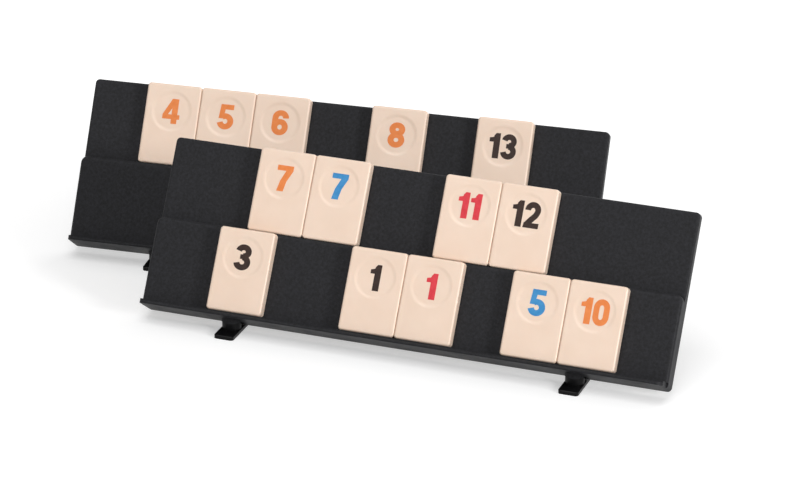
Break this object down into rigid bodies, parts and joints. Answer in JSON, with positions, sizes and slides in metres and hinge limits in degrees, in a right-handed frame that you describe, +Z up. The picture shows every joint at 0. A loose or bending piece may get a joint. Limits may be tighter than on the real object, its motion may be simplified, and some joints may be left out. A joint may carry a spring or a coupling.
{
  "type": "tile rack set",
  "caption": "Pair of black two-tier game tile racks on swing-out strip feet, leaning back, with cream number tiles standing on their ledges.",
  "frame": {"origin": "on the ground plane, at the centre of the ground that the two racks cover", "axes": "+X along the front rack to the right as seen by the player, -Y towards the player, +Z up"},
  "size_m": [0.311, 0.133, 0.0753],
  "materials": {
    "rack_plastic": "fine matte texture",
    "foot_plastic": "satin black",
    "pin_plastic": "satin black",
    "tile_cream": "satin cream with a soft sheen"
  },
  "bodies": {
    "front_rack": {"front_rack_shell": "rack_plastic", "front_left_foot_pin": "pin_plastic", "front_right_foot_pin": "pin_plastic"},
    "rear_rack": {"rear_rack_shell": "rack_plastic", "rear_left_foot_pin": "pin_plastic", "rear_right_foot_pin": "pin_plastic"},
    "front_left_foot": {"front_left_foot": "foot_plastic"},
    "front_right_foot": {"front_right_foot": "foot_plastic"},
    "rear_left_foot": {"rear_left_foot": "foot_plastic"},
    "rear_right_foot": {"rear_right_foot": "foot_plastic"},
    "tile_front_lower_3_black": {"tile_front_lower_3_black": "tile_cream"},
    "tile_front_lower_1_black": {"tile_front_lower_1_black": "tile_cream"},
    "tile_front_lower_1_red": {"tile_front_lower_1_red": "tile_cream"},
    "tile_front_lower_5_blue": {"tile_front_lower_5_blue": "tile_cream"},
    "tile_front_lower_10_orange": {"tile_front_lower_10_orange": "tile_cream"},
    "tile_front_upper_7_orange": {"tile_front_upper_7_orange": "tile_cream"},
    "tile_front_upper_7_blue": {"tile_front_upper_7_blue": "tile_cream"},
    "tile_front_upper_11_red": {"tile_front_upper_11_red": "tile_cream"},
    "tile_front_upper_12_black": {"tile_front_upper_12_black": "tile_cream"},
    "tile_rear_upper_4_orange": {"tile_rear_upper_4_orange": "tile_cream"},
    "tile_rear_upper_5_orange": {"tile_rear_upper_5_orange": "tile_cream"},
    "tile_rear_upper_6_orange": {"tile_rear_upper_6_orange": "tile_cream"},
    "tile_rear_upper_8_orange": {"tile_rear_upper_8_orange": "tile_cream"},
    "tile_rear_upper_13_black": {"tile_rear_upper_13_black": "tile_cream"}
  },
  "joints": [
    {"name": "rear_rack_lift", "type": "slide", "parent": "front_rack", "child": "rear_rack", "axis": [0, 0, 1], "range_m": [0, 0.05]},
    {"name": "front_left_foot_swing", "type": "hinge", "parent": "front_rack", "child": "front_left_foot", "pos_m": [-0.0486, -0.05579, 0], "axis": [0, 0, -1], "range_deg": [0, 90]},
    {"name": "front_right_foot_swing", "type": "hinge", "parent": "front_rack", "child": "front_right_foot", "pos_m": [0.1128, -0.05579, 0], "axis": [0, 0, 1], "range_deg": [0, 90]},
    {"name": "rear_left_foot_swing", "type": "hinge", "parent": "rear_rack", "child": "rear_left_foot", "pos_m": [-0.10898, 0.00388, 0], "axis": [0, 0, -1], "range_deg": [0, 90]},
    {"name": "rear_right_foot_swing", "type": "hinge", "parent": "rear_rack", "child": "rear_right_foot", "pos_m": [0.05172, 0.01893, 0], "axis": [0, 0, 1], "range_deg": [0, 90]},
    {"name": "tile_front_lower_3_black_lift", "type": "slide", "parent": "front_rack", "child": "tile_front_lower_3_black", "axis": [0, 0.5, 0.866], "range_m": [0, 0.045]},
    {"name": "tile_front_lower_1_black_lift", "type": "slide", "parent": "front_rack", "child": "tile_front_lower_1_black", "axis": [0, 0.5, 0.866], "range_m": [0, 0.045]},
    {"name": "tile_front_lower_1_red_lift", "type": "slide", "parent": "front_rack", "child": "tile_front_lower_1_red", "axis": [0, 0.5, 0.866], "range_m": [0, 0.045]},
    {"name": "tile_front_lower_5_blue_lift", "type": "slide", "parent": "front_rack", "child": "tile_front_lower_5_blue", "axis": [0, 0.5, 0.866], "range_m": [0, 0.045]},
    {"name": "tile_front_lower_10_orange_lift", "type": "slide", "parent": "front_rack", "child": "tile_front_lower_10_orange", "axis": [0, 0.5, 0.866], "range_m": [0, 0.045]},
    {"name": "tile_front_upper_7_orange_lift", "type": "slide", "parent": "front_rack", "child": "tile_front_upper_7_orange", "axis": [0, 0.5, 0.866], "range_m": [0, 0.045]},
    {"name": "tile_front_upper_7_blue_lift", "type": "slide", "parent": "front_rack", "child": "tile_front_upper_7_blue", "axis": [0, 0.5, 0.866], "range_m": [0, 0.045]},
    {"name": "tile_front_upper_11_red_lift", "type": "slide", "parent": "front_rack", "child": "tile_front_upper_11_red", "axis": [0, 0.5, 0.866], "range_m": [0, 0.045]},
    {"name": "tile_front_upper_12_black_lift", "type": "slide", "parent": "front_rack", "child": "tile_front_upper_12_black", "axis": [0, 0.5, 0.866], "range_m": [0, 0.045]},
    {"name": "tile_rear_upper_4_orange_lift", "type": "slide", "parent": "rear_rack", "child": "tile_rear_upper_4_orange", "axis": [-0.0466, 0.4978, 0.866], "range_m": [0, 0.045]},
    {"name": "tile_rear_upper_5_orange_lift", "type": "slide", "parent": "rear_rack", "child": "tile_rear_upper_5_orange", "axis": [-0.0466, 0.4978, 0.866], "range_m": [0, 0.045]},
    {"name": "tile_rear_upper_6_orange_lift", "type": "slide", "parent": "rear_rack", "child": "tile_rear_upper_6_orange", "axis": [-0.0466, 0.4978, 0.866], "range_m": [0, 0.045]},
    {"name": "tile_rear_upper_8_orange_lift", "type": "slide", "parent": "rear_rack", "child": "tile_rear_upper_8_orange", "axis": [-0.0466, 0.4978, 0.866], "range_m": [0, 0.045]},
    {"name": "tile_rear_upper_13_black_lift", "type": "slide", "parent": "rear_rack", "child": "tile_rear_upper_13_black", "axis": [-0.0466, 0.4978, 0.866], "range_m": [0, 0.045]}
  ]
}
